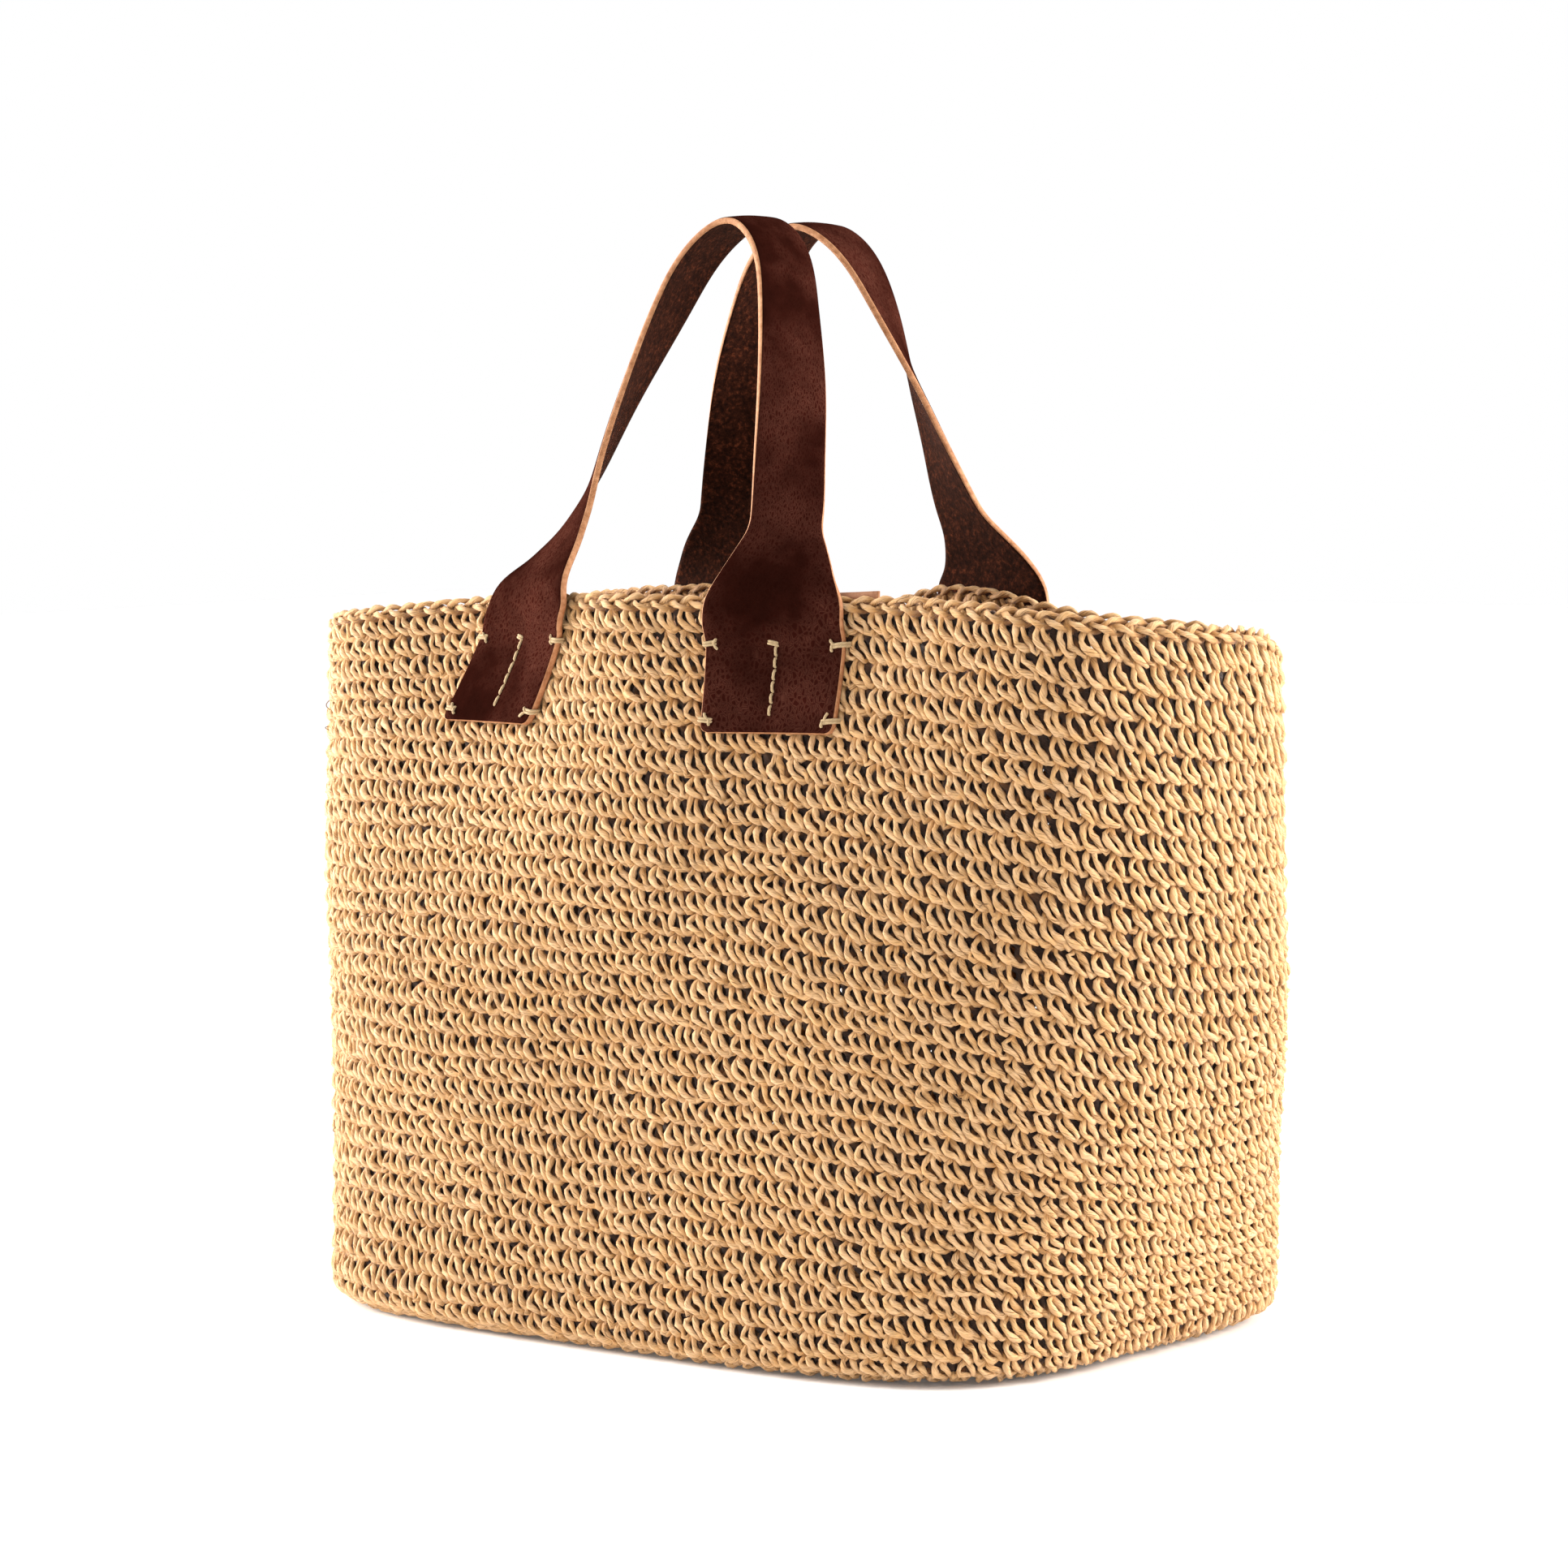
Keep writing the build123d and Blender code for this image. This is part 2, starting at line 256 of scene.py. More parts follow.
LOOP_BEHIND = 0.8                 # how much fuller the loops behind each stitch are
YARN_FLAT = 0.28                  # how far the paper yarn is from round
YARN_TWIST = 0.36                 # its turn along the yarn, in radians per mm
BRAID_SAMPLES = 24
BRAID_HALF = 2.5                  # half width of the rim braid
BRAID_THICK = 1.1
BRAID_UP = 0.8                    # how far the braid stands upright on the rim, as a cosine
BRAID_FLAT = 0.6
BRAID_DROP = 1.5
BRAID_LAPS = 3                    # laps of the one yarn that the braid is plaited from
BRAID_WANDER = 0.25
WANDER_EVERY = 12                 # samples between two changes of its wander
BRAID_UNEVEN = 0.03
FIBRES = 46
FIBRE_SAMPLES = 7
FIBRE_RADIUS = 0.2
GIRTH = 1090.0                    # rough length of a round, for the fibres' sideways run
INSIDE_SHADE_LIFT = 1.4                  # the deep loops lose their painted shade again where they face into the bag

# --- leather, thread ------------------------------------------------------------------------------
STRAP_ROWS = 190                  # rows and columns of the leather's mesh
TAB_ROWS = 30
LEATHER_COLUMNS = 25
TAB_CORNER = 3.0                  # radius of the lower corners of a tab
FREE_FROM = 279.0                 # heights between which the leather leaves the wall
FREE_AT = 304.0
CUP = 0.9                         # how far the grip bows across its width
SEAM_GROOVE = 1.8                 # half width of the furrow that the seam pulls, and its depth
SEAM_DEEP = 0.55
SEAM_MIDDLE = 259.0
SEAM_HALF = 14.0
CREASE_HEIGHT = 274.5
CREASE_HALF = 1.6
CREASE_DEEP = 0.35
PUFF = 0.5                        # how far the tab swells beside the seam, and how far up
PUFF_HALF = 20.0
STRAP_WAVE = 0.25
LEAVE_SPAN = 12.0                 # stretch over which a tab lifts to the strap's gap
PATCH_WIDTH = 72.0
PATCH_LOW = 243.5
PATCH_RISE = {FRONT: {-1: -4.0, 1: 2.5}, BACK: {-1: -14.0, 1: -14.0}}
PATCH_THICK = 1.6
PATCH_OUT = -6.8                  # middle of a patch from the wall's outer face
PATCH_TILT = 1.6                  # how far its outer top corner stands up
PATCH_ROWS = 22
PATCH_COLUMNS = 25
THREAD = 1.15
THREAD_SAMPLES = 11
THREAD_CORNERS = 7
THREAD_FLAT = 0.08
THREAD_TWIST = 2.0
SEAM_DASHES = 6
DASH_LENGTH = 2.7
DASH_PITCH = 4.5
SEAM_TOP = 274.0
TACK_HEIGHTS = (272.0, 243.5)

# --- colours, as linear light ---------------------------------------------------------------------
# the crest colour is the straw's own; the three darker straw colours are painted shade for yarn
# lying deeper in the fabric
STRAW_CREST = (0.83, 0.545, 0.295)
STRAW_HALF_PAINTED_SHADE = (0.57, 0.315, 0.12)
STRAW_DARK_PAINTED_SHADE = (0.21, 0.088, 0.020)
STRAW_DEEPEST_PAINTED_SHADE = (0.03, 0.010, 0.002)
STRAW_GOLD = (0.98, 0.88, 0.66)
GRAIN_DARK = (0.013, 0.0028, 0.0018)
GRAIN_RED = (0.031, 0.0060, 0.0038)
# painted highlight colour for the crests of the leather's wrinkles
GRAIN_PAINTED_HIGHLIGHT = (0.30, 0.12, 0.08)
SUEDE_DARK = (0.008, 0.0022, 0.0013)
SUEDE_BROWN = (0.028, 0.0075, 0.0034)
SUEDE_RED = (0.10, 0.026, 0.011)
EDGE_LIGHT = (0.50, 0.25, 0.125)
EDGE_DARK = (0.28, 0.11, 0.04)
PATCH_LIGHT = (0.56, 0.30, 0.18)
PATCH_DARK = (0.38, 0.17, 0.09)
THREAD_LIGHT = (0.58, 0.42, 0.24)
THREAD_DARK = (0.30, 0.20, 0.09)

# --- camera and lights ----------------------------------------------------------------------------
CAMERA_AZIMUTH = 40.06            # degrees round from the front, as are the elevation and roll
CAMERA_ELEVATION = 4.337
CAMERA_DISTANCE = 1.9498
CAMERA_LENS = 111.25
CAMERA_AIM = 0.2109               # height of the point that it looks at, in metres
CAMERA_SIDE = -0.00088            # its shift to the right
CAMERA_ROLL = -1.0
LEFT_POWER = 100.0                # watts
RIGHT_POWER = 82.0
TOP_POWER = 10.0
WORLD_LIGHT = 1.0
SOFTBOX = 1.2                     # side of the two square softboxes
FLOOR_HALF = 6.0
FLOOR_LEVEL = -0.0004             # just under the bag's lowest yarn


def unit(vectors):
    return vectors / (np.linalg.norm(vectors, axis=-1, keepdims=True) + 1e-12)


def carried_frames(paths, closed):
    """Two unit vectors across each path, carried along it without twisting."""
    if closed:
        tangents = unit(np.roll(paths, -1, axis=1) - np.roll(paths, 1, axis=1))
    else:
        tangents = unit(np.gradient(paths, axis=1))
    rows, count = paths.shape[:2]
    normals = np.zeros_like(paths)
    seed = np.tile([0.3, 0.2, 1.0], (rows, 1))
    normals[:, 0] = unit(seed - tangents[:, 0] * (seed * tangents[:, 0]).sum(1, keepdims=True))
    for i in range(1, count):
        before = normals[:, i - 1]
        tangent = tangents[:, i]
        normals[:, i] = unit(before - tangent * (before * tangent).sum(1, keepdims=True))
    sides = np.cross(tangents, normals)
    if closed:
        last = normals[:, -1] - tangents[:, 0] * (normals[:, -1] * tangents[:, 0]).sum(
            1, keepdims=True)
        gap = np.arctan2((last * sides[:, 0]).sum(1), (last * normals[:, 0]).sum(1))
        turn = (-gap[:, None] * np.arange(count) / count)[..., None]
        normals, sides = (normals * np.cos(turn) + sides * np.sin(turn),
                          sides * np.cos(turn) - normals * np.sin(turn))
    return normals, sides


def tube_mesh(name, paths, radii, corners, closed, flat=0.0, twist=0.0, depth=None,
              outward=None):
    """One mesh of tubes round rows of paths (mm). flat and twist shape a folded paper yarn."""
    normals, sides = carried_frames(paths, closed)
    rows, count = paths.shape[:2]
    steps = np.linalg.norm(np.diff(paths, axis=1), axis=2)
    run = np.concatenate([np.zeros((rows, 1)), np.cumsum(steps, axis=1)], axis=1)
    around = np.arange(corners) * 2 * math.pi / corners
    swell = 1 + flat * np.cos(2 * (around[None, None] - (twist * run)[..., None]))
    reach = radii[..., None] * swell
    points = (paths[:, :, None]
              + normals[:, :, None] * (reach * np.cos(around))[..., None]
              + sides[:, :, None] * (reach * np.sin(around))[..., None])
    spans = count if closed else count - 1
    row, span, corner = np.meshgrid(np.arange(rows), np.arange(spans), np.arange(corners),
                                    indexing="ij")
    after = (span + 1) % count
    beside = (corner + 1) % corners

    def number(s, c):
        return (row * count + s) * corners + c

    quads = np.stack([number(span, corner), number(span, beside), number(after, beside),
                      number(after, corner)], axis=-1).reshape(-1, 4)
    run_after = np.where(after == 0, (run[:, -1] + steps[:, -1])[:, None, None],
                         np.take_along_axis(run[:, :, None], after, axis=1))
    run_here = np.take_along_axis(run[:, :, None], span, axis=1)
    left, right = corner / corners, (corner + 1) / corners
    uvs = np.stack([run_here, left, run_here, right, run_after, right, run_after, left],
                   axis=-1).reshape(-1, 2)
    mesh = make_mesh(name, points.reshape(-1, 3), quads, uvs)
    if not closed:
        cap_ends(mesh, rows, count, corners)
    # the depth attribute drives the straw's painted shade; where a deep loop faces into the bag its
    # painted shade is lifted again
    if depth is not None:
        ways = unit(points - paths[:, :, None])
        inward = np.clip(-(ways * outward[:, :, None]).sum(3), 0, 1)
        values = depth[..., None] + INSIDE_SHADE_LIFT * inward * np.clip(-depth, 0, 2)[..., None]
        values = values.reshape(-1)
        layer = mesh.attributes.new("depth", "FLOAT", "POINT")
        layer.data.foreach_set("value", values.astype(np.float32))
    return link(name, mesh)


def make_mesh(name, points, quads, uvs=None):
    mesh = bpy.data.meshes.new(name)
    mesh.vertices.add(len(points))
    mesh.vertices.foreach_set("co", (points * MM).astype(np.float32).ravel())
    mesh.loops.add(len(quads) * 4)
    mesh.loops.foreach_set("vertex_index", quads.astype(np.int32).ravel())
    mesh.polygons.add(len(quads))
    mesh.polygons.foreach_set("loop_start", np.arange(len(quads), dtype=np.int32) * 4)
    if uvs is not None:
        layer = mesh.uv_layers.new(name="yarn")
        layer.data.foreach_set("uv", uvs.astype(np.float32).ravel())
    mesh.update(calc_edges=True)
    mesh.polygons.foreach_set("use_smooth", np.ones(len(quads), bool))
    return mesh


def cap_ends(mesh, rows, count, corners):
    """Closes the two ends of every open tube with a flat face."""
    work = bmesh.new()
    work.from_mesh(mesh)
    work.verts.ensure_lookup_table()
    for row in range(rows):
        first = row * count * corners
        last = first + (count - 1) * corners
        work.faces.new([work.verts[first + c] for c in reversed(range(corners))])
        work.faces.new([work.verts[last + c] for c in range(corners)])
    work.to_mesh(mesh)
    work.free()


def link(name, mesh):
    piece = bpy.data.objects.new(name, mesh)
    bpy.context.scene.collection.objects.link(piece)
    return piece


def smooth_round(points, stitches, samples):
    """Catmull-Rom curve round rows of stitch points, evenly spaced along its length."""
    count = points.shape[1]
    place = np.arange(count * FINE) / FINE
    index = np.floor(place).astype(int)
    t = (place - index)[None, :, None]
    lap_step = np.array([stitches, 0, 0])

    def at(offset):
        lap = (index + offset) // count
        return points[:, (index + offset) % count] + lap[None, :, None] * lap_step

    p0, p1, p2, p3 = at(-1), at(0), at(1), at(2)
    curve = 0.5 * (2 * p1 + (p2 - p0) * t + (2 * p0 - 5 * p1 + 4 * p2 - p3) * t**2
                   + (3 * p1 - p0 - 3 * p2 + p3) * t**3)
    closed = np.concatenate([curve, curve[:, :1] + lap_step], axis=1)
    steps = np.linalg.norm(np.diff(closed, axis=1) * STITCH_SCALE, axis=2)
    even = np.zeros((len(points), samples, 3))
    for row in range(len(points)):
        run = np.concatenate([[0], np.cumsum(steps[row])])
        targets = run[-1] * np.arange(samples) / samples
        for axis in range(3):
            even[row, :, axis] = np.interp(targets, run, closed[row, :, axis])
    return even


def crochet_rounds(name, starts, first_climbs, height, stitches, samples, corners, rng):
    """Mesh of several rounds of crochet with the same number of stitches.

    starts: sideways start of each round, in stitches; first_climbs: its lower edge."""
    rounds = len(starts)
    points = np.tile(STITCH_PATH, (rounds, stitches, 1, 1))
    points = points + rng.normal(0, 1, points.shape) * STITCH_WOBBLE
    lean = rng.normal(0, STITCH_LEAN, (rounds, stitches, 1))
    size = 1 + rng.normal(0, STITCH_SIZE, (rounds, stitches, 1))
    points[..., 0] += lean * (points[..., 1] - 0.3)
    points[..., 1] = 0.5 + (points[..., 1] - 0.5) * size
    points[..., 0] += np.arange(stitches)[None, :, None] + starts[:, None, None]
    curve = smooth_round(points.reshape(rounds, -1, 3), stitches, samples * stitches)
    climb = first_climbs[:, None] + curve[..., 1] * height
    path, normal = fabric_point(curve[..., 0] / stitches, climb, curve[..., 2] - YARN_DEPTH)
    count = path.shape[1]
    places = np.arange(count // BULGE_EVERY + 2) * float(BULGE_EVERY)
    bulge = np.stack([np.interp(np.arange(count), places, rng.normal(0, YARN_UNEVEN, len(places)))
                      for row in range(rounds)])
    behind = np.clip(-curve[..., 2] / BEHIND_DEPTH, 0, 1)
    radii = YARN_RADIUS * (1 + bulge + LOOP_BEHIND * behind)
    # the yarn's depth in the stitch becomes the depth attribute, which paints shade on the deeper
    # yarn
    return tube_mesh(name, path, radii, corners, True, YARN_FLAT, YARN_TWIST,
                     depth=curve[..., 2], outward=normal)


def rim_braid(rng):
    """The chain of V-shaped loops that finishes the rim: one yarn plaited over three laps."""
    count = STITCHES * BRAID_SAMPLES
    lap = np.arange(count) / count * BRAID_LAPS
    phase = 2 * math.pi * lap * STITCHES / BRAID_LAPS
    across = BRAID_HALF * np.sin(phase)
    over = BRAID_THICK * np.sin(2 * phase)
    places = np.arange(0, count + WANDER_EVERY, WANDER_EVERY)
    wander = np.interp(np.arange(count), places, rng.normal(0, BRAID_WANDER, len(places)))
    wander[-WANDER_EVERY:] = np.linspace(wander[-WANDER_EVERY], wander[0], WANDER_EVERY)
    climb = CLIMB_TOP - BRAID_DROP + across * BRAID_UP + over * BRAID_FLAT + wander
    out = -YARN_DEPTH - across * BRAID_FLAT + over * BRAID_UP + wander
    path, normal = fabric_point(lap[None], climb[None], out[None])
    radii = YARN_RADIUS * (1 + rng.normal(0, BRAID_UNEVEN, (1, count)))
    # the strands that pass under in the plait get painted shade through the depth attribute
    return tube_mesh("rim_braid", path, radii, WALL_CORNERS, True, YARN_FLAT, YARN_TWIST,
                     depth=over[None] * 0.8 + 0.4, outward=normal)


def loose_fibres(rng):
    """Short fibres that stand off the yarn here and there."""
    rows = []
    samples = np.linspace(0, 1, FIBRE_SAMPLES)
    for _ in range(FIBRES):
        turn = rng.uniform(0, 1)
        climb = rng.uniform(5, CLIMB_TOP - 5)
        length = rng.uniform(4, 9)
        heading = rng.uniform(0, 2 * math.pi)
        bend = rng.uniform(-1.2, 1.2)
        angle = heading + bend * samples
        side = np.cumsum(np.cos(angle)) * length / FIBRE_SAMPLES
        rise = np.cumsum(np.sin(angle)) * length / FIBRE_SAMPLES
        out = -0.6 + rng.uniform(0.8, 2.4) * np.sin(samples * math.pi * 0.9)
        path, normal = fabric_point((turn + side / GIRTH)[None], (climb + rise)[None], out[None])
        rows.append(path[0])
    radii = np.full((FIBRES, FIBRE_SAMPLES), FIBRE_RADIUS)
    return tube_mesh("loose_fibres", np.stack(rows), radii, 4, False)


# === leather ====================================================================================
def tab_middle(side, end, height):
    drop = HEIGHT - height
    return end * (TAB_SPACING[side] + TAB_SPLAY[side] * drop) + TAB_LEAN[side] * drop


def skin(x, height, side, out):
    """Points on the front or back face, moved out of it; x and height may be arrays."""
    x, height = np.broadcast_arrays(np.asarray(x, float), np.asarray(height, float))
    depth = side_depth(x, np.minimum(height, HEIGHT), side) + out
    return np.stack([x, side * depth, height], axis=-1)


def spline_through(points, samples):
    """Natural cubic spline through points, evenly sampled along its length."""
    points = np.asarray(points, float)
    gaps = np.linalg.norm(np.diff(points, axis=0), axis=1)
    knots = np.concatenate([[0], np.cumsum(gaps)])
    count = len(points)
    matrix = np.eye(count)
    right = np.zeros((count, 3))
    for i in range(1, count - 1):
        matrix[i, i - 1:i + 2] = gaps[i - 1], 2 * (gaps[i - 1] + gaps[i]), gaps[i]
        right[i] = 6 * ((points[i + 1] - points[i]) / gaps[i]
                        - (points[i] - points[i - 1]) / gaps[i - 1])
    bends = np.linalg.solve(matrix, right)
    place = np.linspace(0, knots[-1], samples)
    index = np.clip(np.searchsorted(knots, place, side="right") - 1, 0, count - 2)
    gap = gaps[index][:, None]
    a = (knots[index + 1] - place)[:, None] / gap
    b = 1 - a
    return (a * points[index] + b * points[index + 1]
            + ((a**3 - a) * bends[index] + (b**3 - b) * bends[index + 1]) * gap**2 / 6)


def wall_turn(side, end):
    """Turn of the wall under a tab, in degrees, where 0 runs straight along the bag."""
    middle = abs(tab_middle(side, end, HINGE_HEIGHT))
    near = side_depth(middle - 20, HINGE_HEIGHT, side)
    far = side_depth(middle + 20, HINGE_HEIGHT, side)
    return math.degrees(math.atan2(near - far, 40))


def strap_rows(side):
    """Middle points and width directions along the strap."""
    out = STRAP_GAP + LEATHER / 2
    rising = {}
    for end in END_NAMES:
        foot = [skin(tab_middle(side, end, h), h, side, out)
                for h in (HINGE_HEIGHT, (HINGE_HEIGHT + HEIGHT) / 2, HEIGHT)]
        rising[end] = foot + [np.array([end * x, side * y, z]) for x, y, z in STRAP_RISE[side]]
    top_x, top_depth, top_z = STRAP_TOP[side]
    top = np.array([top_x, side * top_depth, top_z])
    line = spline_through(rising[-1] + [top] + rising[1][::-1], STRAP_ROWS)
    headings = unit(np.gradient(line, axis=0))
    share = (line[:, 2] - HINGE_HEIGHT) / (top_z - HINGE_HEIGHT)
    rim_share = (HEIGHT - HINGE_HEIGHT) / (top_z - HINGE_HEIGHT)
    leg = np.where(np.arange(STRAP_ROWS) < STRAP_ROWS / 2, -1, 1)
    turns = {}
    for end in END_NAMES:
        wall = wall_turn(side, end)
        steps = [(0.0, wall), (rim_share, wall)] + TWIST[side]
        turns[end] = np.radians(np.interp(share, [s for s, a in steps], [a for s, a in steps]))
    turn = np.where(leg < 0, turns[-1], turns[1])
    kernel = np.ones(9) / 9
    turn = np.convolve(np.pad(turn, 4, mode="edge"), kernel, mode="valid")
    across = np.stack([-leg * np.cos(turn), side * np.sin(turn), 0 * turn], axis=1)
    square_on = np.clip(share / SQUARE_ON_SHARE, 0, 1)[:, None]
    across = unit(across - headings * (across * headings).sum(1, keepdims=True) * square_on)
    return line, across


def handle_width(height):
    """Width of the handle leather at a height, with softened shoulders and corners."""
    rise = height - HEIGHT
    flare = np.clip(rise / FLARE_TOP, 0, 1)
    width = TAB_WIDTH - (TAB_WIDTH - GRIP_WIDTH) * flare
    low = np.clip((TAB_CORNER - (height - TAB_LOW)) / TAB_CORNER, 0, 1)
    return width - 2 * TAB_CORNER * (1 - np.sqrt(1 - low**2))


def handle_grid(side):
    """Middle surface of a handle, from its left tab over the top to its right tab."""
    line, across = strap_rows(side)
    shares = np.linspace(-1, 1, LEATHER_COLUMNS)
    tab_heights = np.linspace(0, 1, TAB_ROWS, endpoint=False) ** 1.3
    tab_heights = TAB_LOW + (HINGE_HEIGHT - TAB_LOW) * tab_heights
    heights = np.concatenate([tab_heights, line[:, 2], tab_heights[::-1]])
    smooth = np.ones(5) / 5
    widths = np.convolve(np.pad(handle_width(line[:, 2]), 2, mode="edge"), smooth, mode="valid")
    widths = np.concatenate([handle_width(tab_heights), widths, handle_width(tab_heights)[::-1]])
    rows = len(heights)
    end = np.where(np.arange(rows) < rows / 2, -1, 1)
    reach = shares[None] * widths[:, None] / 2
    middle = tab_middle(side, end, heights)
    leave = np.clip((heights - HINGE_HEIGHT) / LEAVE_SPAN + 0.5, 0, 1)[:, None]
    out = TAB_GAP + LEATHER / 2 + (STRAP_GAP - TAB_GAP) * leave**2 * (3 - 2 * leave)
    wall = skin(middle[:, None] - end[:, None] * reach, heights[:, None] + 0 * reach, side, out)
    ribbon = wall.copy()
    strap = slice(TAB_ROWS, TAB_ROWS + len(line))
    ribbon[strap] = line[:, None] + across[:, None] * reach[strap][..., None]
    fade = np.clip((heights - FREE_FROM) / (FREE_AT - FREE_FROM), 0, 1)[:, None, None]
    fade = fade**2 * (3 - 2 * fade)
    grid = wall * (1 - fade) + ribbon * fade
    normals = unit(-side * np.cross(np.gradient(grid, axis=1), np.gradient(grid, axis=0)))
    cup = CUP * (1 - shares[None] ** 2) * fade[..., 0]
    seam = np.exp(-((reach / SEAM_GROOVE) ** 2)) * np.exp(
        -(((heights - SEAM_MIDDLE) / SEAM_HALF) ** 6))[:, None]
    crease = np.exp(-(((heights - CREASE_HEIGHT) / CREASE_HALF) ** 2))[:, None] * (
        0.4 + 0.6 * np.abs(shares[None]))
    puff = np.sin(np.abs(shares[None]) * math.pi) * np.exp(
        -(((heights - SEAM_MIDDLE) / PUFF_HALF) ** 4))[:, None]
    waves = np.sin(heights[:, None] * 0.11 + shares[None] * 1.3) * STRAP_WAVE * fade[..., 0]
    lift = cup - SEAM_DEEP * seam - CREASE_DEEP * crease + PUFF * puff + waves
    return grid + normals * lift[..., None], normals


def sheet_mesh(name, grid, normals, thickness, grain_round=0.35):
    """Closed leather sheet round a middle surface: material 0 outside, 1 inside, 2 at the edges."""
    rows, columns = grid.shape[:2]
    half = thickness / 2
    width_way = unit(np.gradient(grid, axis=1))
    inset = np.zeros(columns)
    inset[0], inset[-1] = grain_round, -grain_round
    outer = grid + normals * half + width_way * inset[None, :, None]
    outer[:, 0] -= normals[:, 0] * 0.2
    outer[:, -1] -= normals[:, -1] * 0.2
    inner = (grid - normals * half)[:, ::-1]
    right = [grid[:, -1] + normals[:, -1] * half * h + width_way[:, -1] * b
             for h, b in ((0.45, 0.05), (-0.3, 0.1))]
    left = [grid[:, 0] + normals[:, 0] * half * h - width_way[:, 0] * b
            for h, b in ((-0.3, 0.1), (0.45, 0.05))]
    ring = np.concatenate([outer, np.stack(right, axis=1), inner, np.stack(left, axis=1)], axis=1)
    around = ring.shape[1]
    row, spot = np.meshgrid(np.arange(rows - 1), np.arange(around), indexing="ij")
    beside = (spot + 1) % around
    quads = np.stack([row * around + spot, row * around + beside,
                      (row + 1) * around + beside, (row + 1) * around + spot], axis=-1)
    slots = np.full((rows - 1, around), 2)
    slots[:, :columns - 1] = 0
    slots[:, columns + 2:2 * columns + 1] = 1
    steps = np.linalg.norm(np.diff(grid[:, columns // 2], axis=0), axis=1)
    run = np.concatenate([[0], np.cumsum(steps)])
    girth = np.concatenate([[0], np.cumsum(np.linalg.norm(np.diff(ring[rows // 2], axis=0),
                                                          axis=1))])
    girth_after = np.concatenate([girth[1:], [girth[-1] + thickness]])
    uvs = np.stack([girth[spot], run[row], girth_after[spot], run[row],
                    girth_after[spot], run[row + 1], girth[spot], run[row + 1]], axis=-1)
    mesh = make_mesh(name, ring.reshape(-1, 3), quads.reshape(-1, 4), uvs.reshape(-1, 2))
    mesh.polygons.foreach_set("material_index", slots.astype(np.int32).ravel())
    work = bmesh.new()
    work.from_mesh(mesh)
    work.verts.ensure_lookup_table()
    for row, order in ((0, -1), (rows - 1, 1)):
        corners = [work.verts[row * around + c] for c in range(around)][::order]
        face = work.faces.new(corners)
        face.material_index = 2
    bmesh.ops.recalc_face_normals(work, faces=work.faces)
    work.to_mesh(mesh)
    work.free()
    return link(name, mesh)


# === thread =====================================================================================
def tab_face(side, end, aside, height, out):
    """Point on the grain face of a tab, aside from its middle towards the bag's end."""
    x = tab_middle(side, end, height) + end * aside
    return skin(x, height, side, TAB_GAP + LEATHER + out)


def thread_piece(name, paths, radius):
    """Tubes of thread through short lists of points, each smoothed to the same sample count."""
    rows = np.stack([spline_through(path, THREAD_SAMPLES) for path in paths])
    radii = np.full(rows.shape[:2], radius)
    return tube_mesh(name, rows, radii, THREAD_CORNERS, False, THREAD_FLAT, THREAD_TWIST)


def seam_paths(side, end, rng):
    """The dashes of the vertical seam, with the short bar across its top."""
    paths = []
    for dash in range(SEAM_DASHES):
        top = SEAM_TOP - 3.2 - dash * DASH_PITCH
        low = top - DASH_LENGTH - rng.uniform(-0.2, 0.3)
        sway = rng.uniform(-0.2, 0.2)
        middle = (top + low) / 2
        paths.append([tab_face(side, end, sway, top + 0.4, -1.0),
                      tab_face(side, end, sway, top + 0.1, -0.15),
                      tab_face(side, end, 0.0, middle, 0.15),
                      tab_face(side, end, -sway, low - 0.1, -0.15),
                      tab_face(side, end, -sway, low - 0.4, -1.0)])
    bar = SEAM_TOP - 1.4
    for lift in (0.45, -0.45):
        paths.append([tab_face(side, end, end * -3.6, bar + lift + 0.4, -0.9),
                      tab_face(side, end, end * -3.0, bar + lift + 0.3, 0.1),
                      tab_face(side, end, end * -1.4, bar + lift, 0.55),
                      tab_face(side, end, end * 0.4, bar + lift - 0.5, 0.1),
                      tab_face(side, end, end * 0.9, bar + lift - 0.9, -0.9)])
    return paths


def tack_paths(side, end, rng):
    """Doubled thread over the side edges of a tab at its four corners, with small tails."""
    paths = []
    for height in TACK_HEIGHTS:
        for edge in (-1, 1):
            half = TAB_WIDTH / 2
            slope = rng.uniform(-0.8, 0.8)
            for strand in (-0.5, 0.5):
                spot = height + strand
                paths.append([
                    tab_face(side, end, edge * (half - 5.4), spot - slope, -1.2),
                    tab_face(side, end, edge * (half - 4.6), spot - slope, 0.25),
                    tab_face(side, end, edge * (half - 2.4), spot - slope / 2, 0.5),
                    tab_face(side, end, edge * (half - 0.2), spot, 0.3),
                    tab_face(side, end, edge * (half + 0.9), spot, -1.1),
                    tab_face(side, end, edge * (half + 1.3), spot, -3.6)])
            for tail in range(2):
                angle = rng.uniform(0.5, 2.6) * (1 if tail else -1)
                reach = rng.uniform(2.0, 3.2)
                foot = half - 4.2 + tail * 0.6
                steps = [(0.0, 0.3), (0.4, 0.9), (0.75, 0.8), (1.0, 0.35)]
                paths.append([
                    tab_face(side, end, edge * (foot - reach * part * math.cos(angle)),
                             height + reach * part * math.sin(angle), out)
                    for part, out in steps])
    return paths


